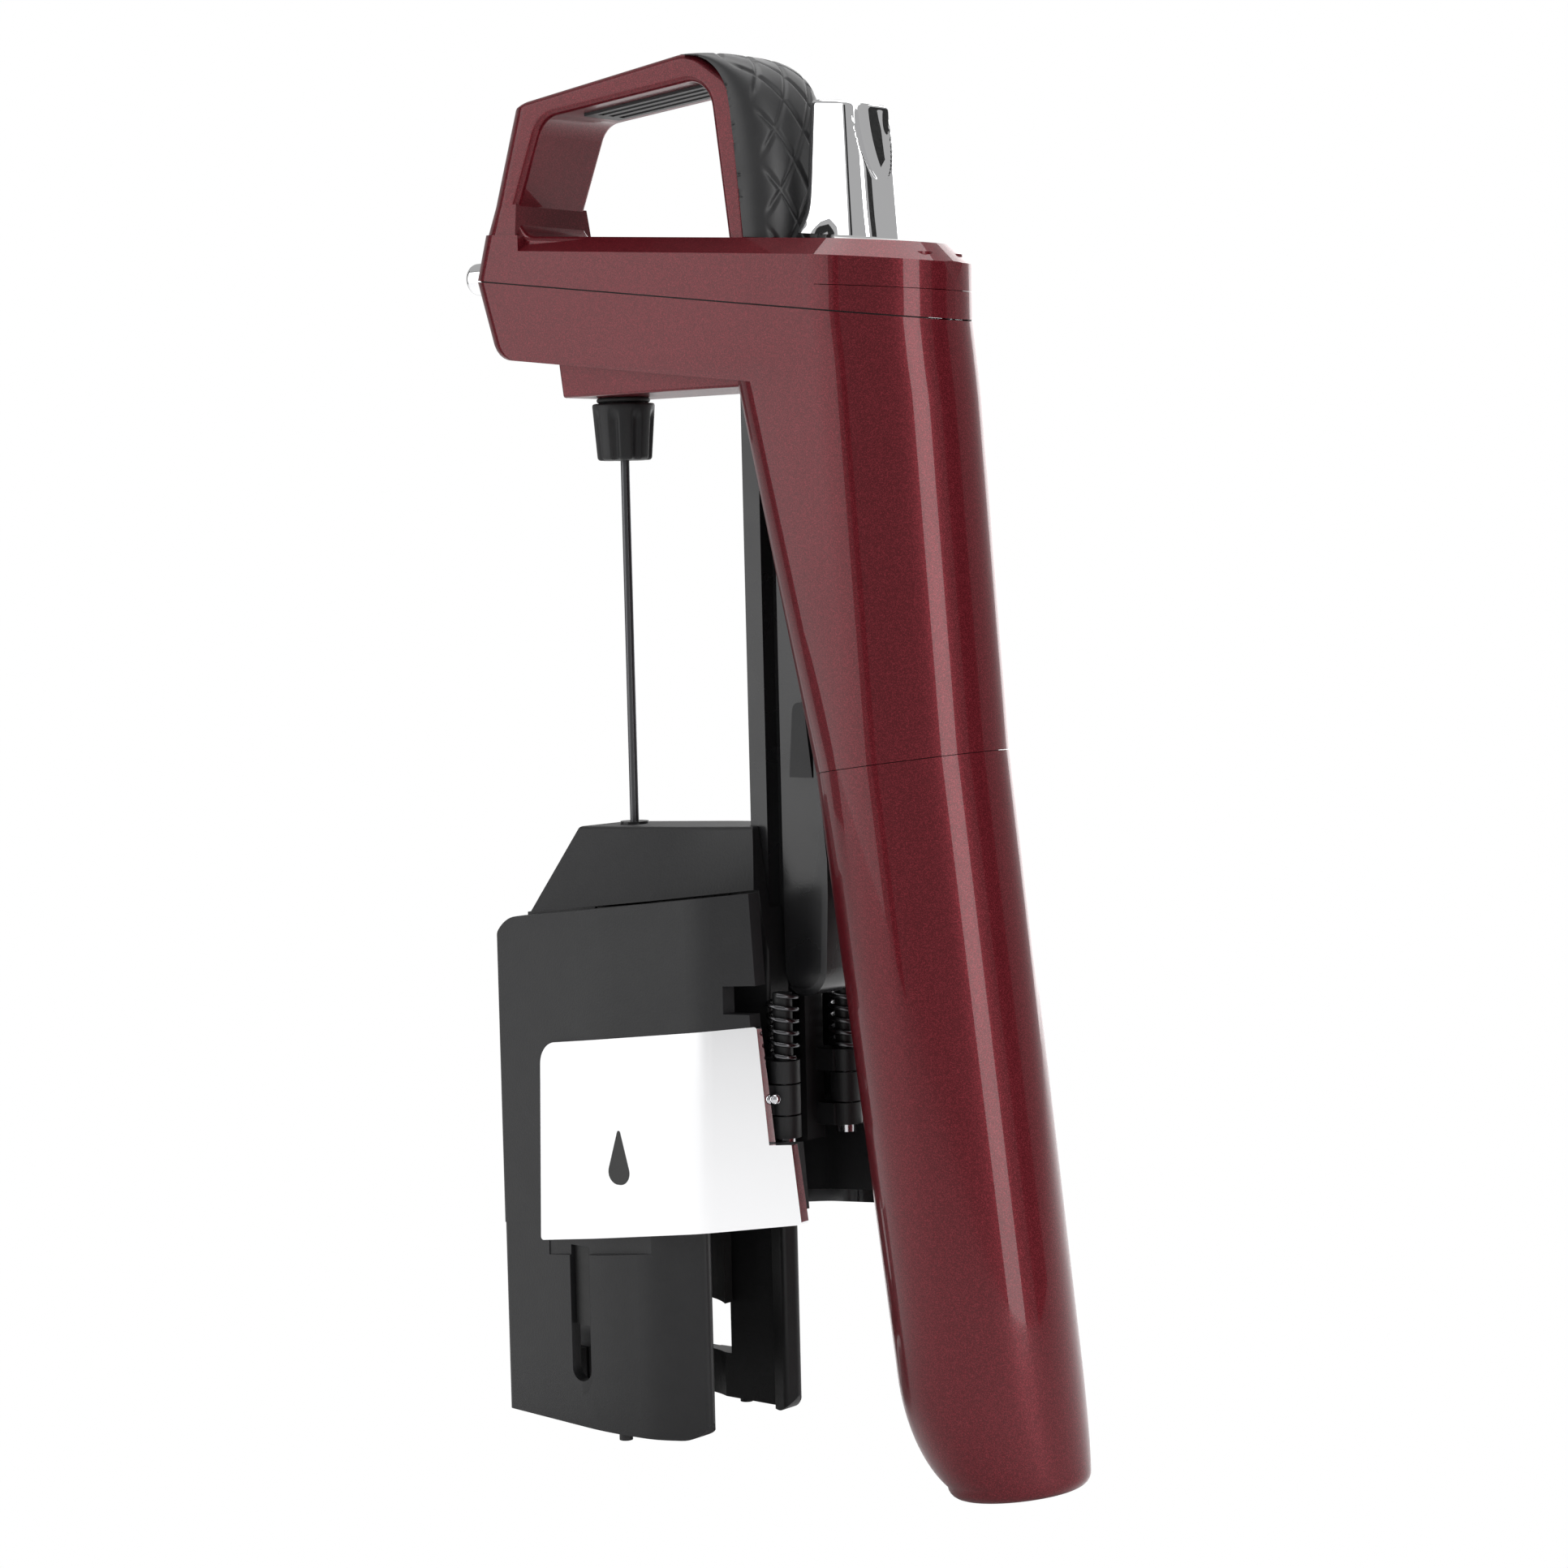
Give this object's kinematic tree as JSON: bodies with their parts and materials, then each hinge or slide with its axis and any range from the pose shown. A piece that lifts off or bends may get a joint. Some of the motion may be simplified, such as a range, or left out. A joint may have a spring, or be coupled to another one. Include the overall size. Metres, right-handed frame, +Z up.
{
  "type": "needle wine opener",
  "caption": "Looped handle and slanted gas tube over a needle, with a spring-loaded neck clamp that slides on a rail and a thumb trigger.",
  "frame": {"origin": "on the needle's axis, half way up the neck pads, where a bottle's neck is gripped", "axes": "+Z up along the needle to the handle, +X back towards the gas tube, -Y the left side"},
  "size_m": [0.1305, 0.0392, 0.2437],
  "materials": {
    "paint": "burgundy metallic gloss",
    "black_plastic": "satin black, fine grain",
    "guide_plastic": "smooth black",
    "grip_rubber": "soft black silicone",
    "pad_rubber": "matt black rubber",
    "chrome": "mirror",
    "needle_steel": "dark coated steel",
    "steel": "bright steel",
    "spring_steel": "dark spring wire",
    "brass": "turned brass",
    "alloy": "machined",
    "badge_ink": "gloss black inlay",
    "capsule_steel": "zinc-plated steel"
  },
  "bodies": {
    "housing": {"main_housing": "paint", "seam_gasket": "pad_rubber", "cover_left": "paint", "cover_right": "paint", "grip_pad": "grip_rubber", "handle_rib_strip": "black_plastic", "spout": "chrome", "valve_block": "alloy", "socket_link": "alloy", "regulator_body": "brass", "regulator_cap": "brass", "piercing_pin": "steel", "regulator_spring": "spring_steel", "regulator_piston": "brass", "needle_socket": "steel", "guide_rail": "guide_plastic", "rail_plates": "black_plastic", "rail_stop": "black_plastic", "thread_collar": "steel", "ring_seal": "pad_rubber", "housing_screws": "steel", "trigger_pin": "steel", "trigger_bracket": "alloy", "trigger_spring": "spring_steel", "wine_tube": "steel", "gas_tube": "brass", "gas_fitting": "brass", "valve_seal": "pad_rubber"},
    "trigger": {"trigger": "chrome"},
    "stem": {"valve_stem": "steel"},
    "needle_ring": {"needle_seal": "pad_rubber"},
    "needle": {"needle_hub": "black_plastic", "needle": "needle_steel"},
    "capsule": {"gas_capsule": "capsule_steel"},
    "cup": {"gas_cup": "paint", "cup_liner": "alloy", "capsule_rest": "black_plastic", "rest_cushion": "pad_rubber"},
    "slider": {"slider_hood": "black_plastic", "slider_spine": "black_plastic", "needle_bush": "guide_plastic", "lip_pad": "pad_rubber", "slide_pads": "guide_plastic", "hinge_pins": "steel", "spring_posts": "black_plastic", "arm_spring_left": "spring_steel", "arm_spring_right": "spring_steel"},
    "left_arm": {"arm_left": "black_plastic", "plaque_left": "chrome", "badge_left": "badge_ink", "neck_pad_left": "pad_rubber", "arm_pin_left": "steel"},
    "right_arm": {"arm_right": "black_plastic", "plaque_right": "chrome", "badge_right": "badge_ink", "neck_pad_right": "pad_rubber", "arm_pin_right": "steel"}
  },
  "joints": [
    {"name": "neck_clamp_slide", "type": "slide", "parent": "housing", "child": "slider", "axis": [0, 0, 1], "range_m": [0, 0.062]},
    {"name": "left_arm_hinge", "type": "hinge", "parent": "slider", "child": "left_arm", "pos_m": [0.0405, -0.0085, 0.0312], "axis": [0, 0, 1], "range_deg": [0, 20], "stiffness_Nm_per_rad": 0.3, "springref_deg": -14.32},
    {"name": "right_arm_hinge", "type": "hinge", "parent": "slider", "child": "right_arm", "pos_m": [0.0405, 0.0085, 0.0312], "axis": [0, 0, -1], "range_deg": [0, 20], "stiffness_Nm_per_rad": 0.3, "springref_deg": -14.32},
    {"name": "trigger_press", "type": "hinge", "parent": "housing", "child": "trigger", "pos_m": [0.0522, 0, 0.171], "axis": [0, -1, 0], "range_deg": [0, 5], "stiffness_Nm_per_rad": 2, "springref_deg": -5.73},
    {"name": "valve_travel", "type": "slide", "parent": "housing", "child": "stem", "axis": [1, 0, 0], "range_m": [0, 0.00054]},
    {"name": "needle_travel", "type": "slide", "parent": "housing", "child": "needle_ring", "axis": [0, 0, -1], "range_m": [0, 0.0025]},
    {"name": "needle_turn", "type": "hinge", "parent": "needle_ring", "child": "needle", "pos_m": [0, 0, 0.147], "axis": [0, 0, 1], "range_deg": [0, 905]},
    {"name": "capsule_travel", "type": "slide", "parent": "housing", "child": "capsule", "axis": [0.1297, 0, -0.9916], "range_m": [0, 0.0046]},
    {"name": "cup_turn", "type": "hinge", "parent": "capsule", "child": "cup", "pos_m": [0.0634, 0, 0.0891], "axis": [-0.1297, 0, 0.9916], "range_deg": [0, 1080]}
  ],
  "couplings": [
    {"joint": "valve_travel", "follows": "trigger_press", "m_per_rad": 0.0058},
    {"joint": "needle_turn", "follows": "needle_travel", "rad_per_m": 6283.2},
    {"joint": "capsule_travel", "follows": "cup_turn", "m_per_rad": 0.00023873}
  ]
}
